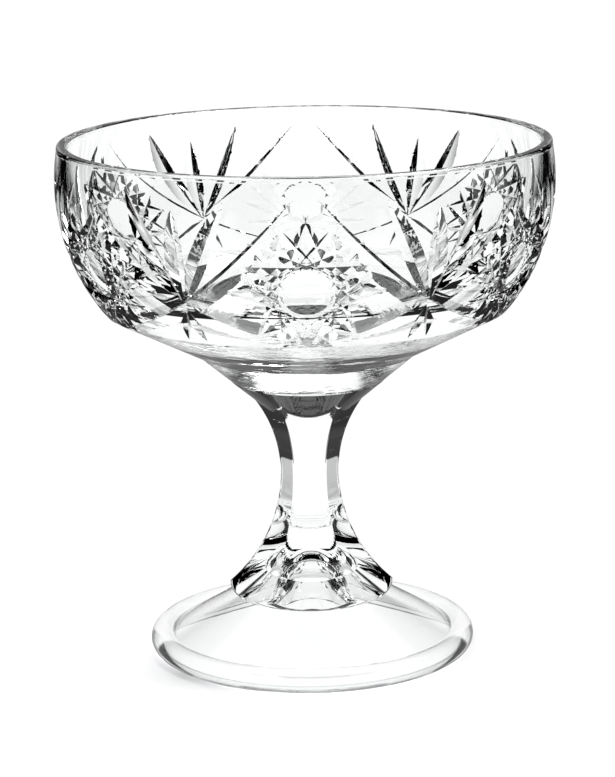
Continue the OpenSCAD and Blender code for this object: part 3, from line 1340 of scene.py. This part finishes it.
    def floor(self) -> None:
        """Makes the floor: a plain pale disc that takes the shadow.

        In the glass it is a white table with white sweeps running away from it, black flags between them and
        two grey cards that lie on the table.
        """
        turn = np.linspace(0, 2 * math.pi, self.floor_sides, endpoint=False)
        rim = np.stack([self.floor_r * np.cos(turn), self.floor_r * np.sin(turn), 0 * turn], -1)
        mesh = bpy.data.meshes.new(Ground.FLOOR.value)
        mesh.from_pydata(rim.tolist(), [], [list(range(len(rim)))])
        floor = bpy.data.objects.new(Ground.FLOOR.value, mesh)
        bpy.context.scene.collection.objects.link(floor)
        material, tree = blank_material(Ground.FLOOR.value)
        place = add_node(tree, "ShaderNodeTexCoord")
        level, far = self.level_vector(tree, place.outputs["Object"])
        lit = add_node(
            tree,
            "ShaderNodeMapRange",
            SMOOTH,
            {"From Min": self.table_r + self.table_edge, "From Max": self.table_r},
            {"Value": far},
        ).outputs["Result"]
        for sweep in self.sweeps:
            patch = sweep.patch(tree, level, far, sweep.reach_m + self.table_edge, sweep.reach_m)
            lit = add_node(
                tree, "ShaderNodeMath", {"operation": "MAXIMUM"}, links={0: lit, 1: patch}
            ).outputs[0]
        for card in self.cards:
            patch = card.patch(tree, level, far, card.reach_m, card.reach_m + self.card_edge)
            left = add_node(
                tree,
                "ShaderNodeMapRange",
                values={"To Min": 1.0, "To Max": 1 - self.card_shade},
                links={"Value": patch},
            )
            lit = add_node(
                tree, "ShaderNodeMath", {"operation": "MULTIPLY"}, links={0: lit, 1: left.outputs["Result"]}
            ).outputs[0]
        path = add_node(tree, "ShaderNodeLightPath")
        matt = add_node(tree, "ShaderNodeBsdfDiffuse", values={"Color": linear(self.floor_colour)})
        paper = add_node(tree, "ShaderNodeEmission", links=self.paper(tree, lit, path))
        in_glass = add_node(
            tree,
            "ShaderNodeMath",
            {"operation": "MAXIMUM"},
            links={0: path.outputs["Is Transmission Ray"], 1: path.outputs["Is Glossy Ray"]},
        )
        mix = add_node(
            tree,
            "ShaderNodeMixShader",
            links={0: in_glass.outputs[0], 1: matt.outputs[0], 2: paper.outputs[0]},
        )
        add_node(tree, "ShaderNodeOutputMaterial", links={"Surface": mix.outputs[0]})
        mesh.materials.append(material)

    def room(self) -> None:
        """Makes the world, which is white to the camera.

        To the glass it is white sweeps, black flags and a white ceiling.
        """
        world = bpy.data.worlds.new(Ground.ROOM.value)
        world.use_nodes = True
        tree = world.node_tree
        tree.nodes.clear()
        place = add_node(tree, "ShaderNodeTexCoord")
        parts = add_node(tree, "ShaderNodeSeparateXYZ", links={0: place.outputs["Generated"]})
        level, _ = self.level_vector(tree, place.outputs["Generated"])
        rise = parts.outputs["Z"]
        start, full = (math.sin(math.radians(angle)) for angle in (self.ceiling_from, self.ceiling_full))
        lit = add_node(
            tree, "ShaderNodeMapRange", SMOOTH, {"From Min": start, "From Max": full}, {"Value": rise}
        ).outputs["Result"]
        for sweep in self.sweeps:
            if sweep.height:
                top, whole = (
                    math.sin(math.radians(sweep.height + k * sweep.feather)) for k in (1, 0)
                )
                patch = sweep.patch(tree, level, rise, top, whole)
                lit = add_node(
                    tree, "ShaderNodeMath", {"operation": "MAXIMUM"}, links={0: lit, 1: patch}
                ).outputs[0]
        path = add_node(tree, "ShaderNodeLightPath")
        seen = add_node(tree, "ShaderNodeBackground", values={"Color": linear(self.white), "Strength": 1.0})
        glow = add_node(
            tree, "ShaderNodeBackground", values={"Color": linear(self.white), "Strength": self.room_glow}
        )
        paper = add_node(tree, "ShaderNodeBackground", links=self.paper(tree, lit, path))
        inner = add_node(
            tree,
            "ShaderNodeMixShader",
            links={0: path.outputs["Is Diffuse Ray"], 1: paper.outputs[0], 2: glow.outputs[0]},
        )
        mix = add_node(
            tree,
            "ShaderNodeMixShader",
            links={0: path.outputs["Is Camera Ray"], 1: inner.outputs[0], 2: seen.outputs[0]},
        )
        add_node(tree, "ShaderNodeOutputWorld", links={"Surface": mix.outputs[0]})
        bpy.context.scene.world = world

    def lamp(self) -> None:
        """Makes the one soft lamp, high on the right and a little behind."""
        data = bpy.data.lights.new("soft_lamp", "SUN")
        data.energy, data.angle = self.sun_strength, math.radians(self.sun_angle)
        lamp = bpy.data.objects.new("soft_lamp", data)
        lamp.rotation_euler = Vector(self.sun_way).to_track_quat("-Z", "Y").to_euler()
        bpy.context.scene.collection.objects.link(lamp)

    def build(self) -> None:
        """Builds the whole set and sets the view transform."""
        self.camera()
        self.floor()
        self.room()
        self.lamp()
        scene = bpy.context.scene
        scene.view_settings.view_transform = "Standard"
        scene.cycles.max_bounces = self.bounces
        scene.cycles.transmission_bounces = self.bounces


def main() -> None:
    """Builds the set and the pieces in order, and reports each piece."""
    logging.basicConfig(level=logging.INFO, format="%(name)s: %(message)s")
    Studio().build()
    for part in (PressedBowl(), BondFilm(), PressedPedestal()):
        piece = part.build()
        LOG.info("%s: %d triangles", piece.name, len(piece.data.polygons))


if __name__ == "__main__":
    main()
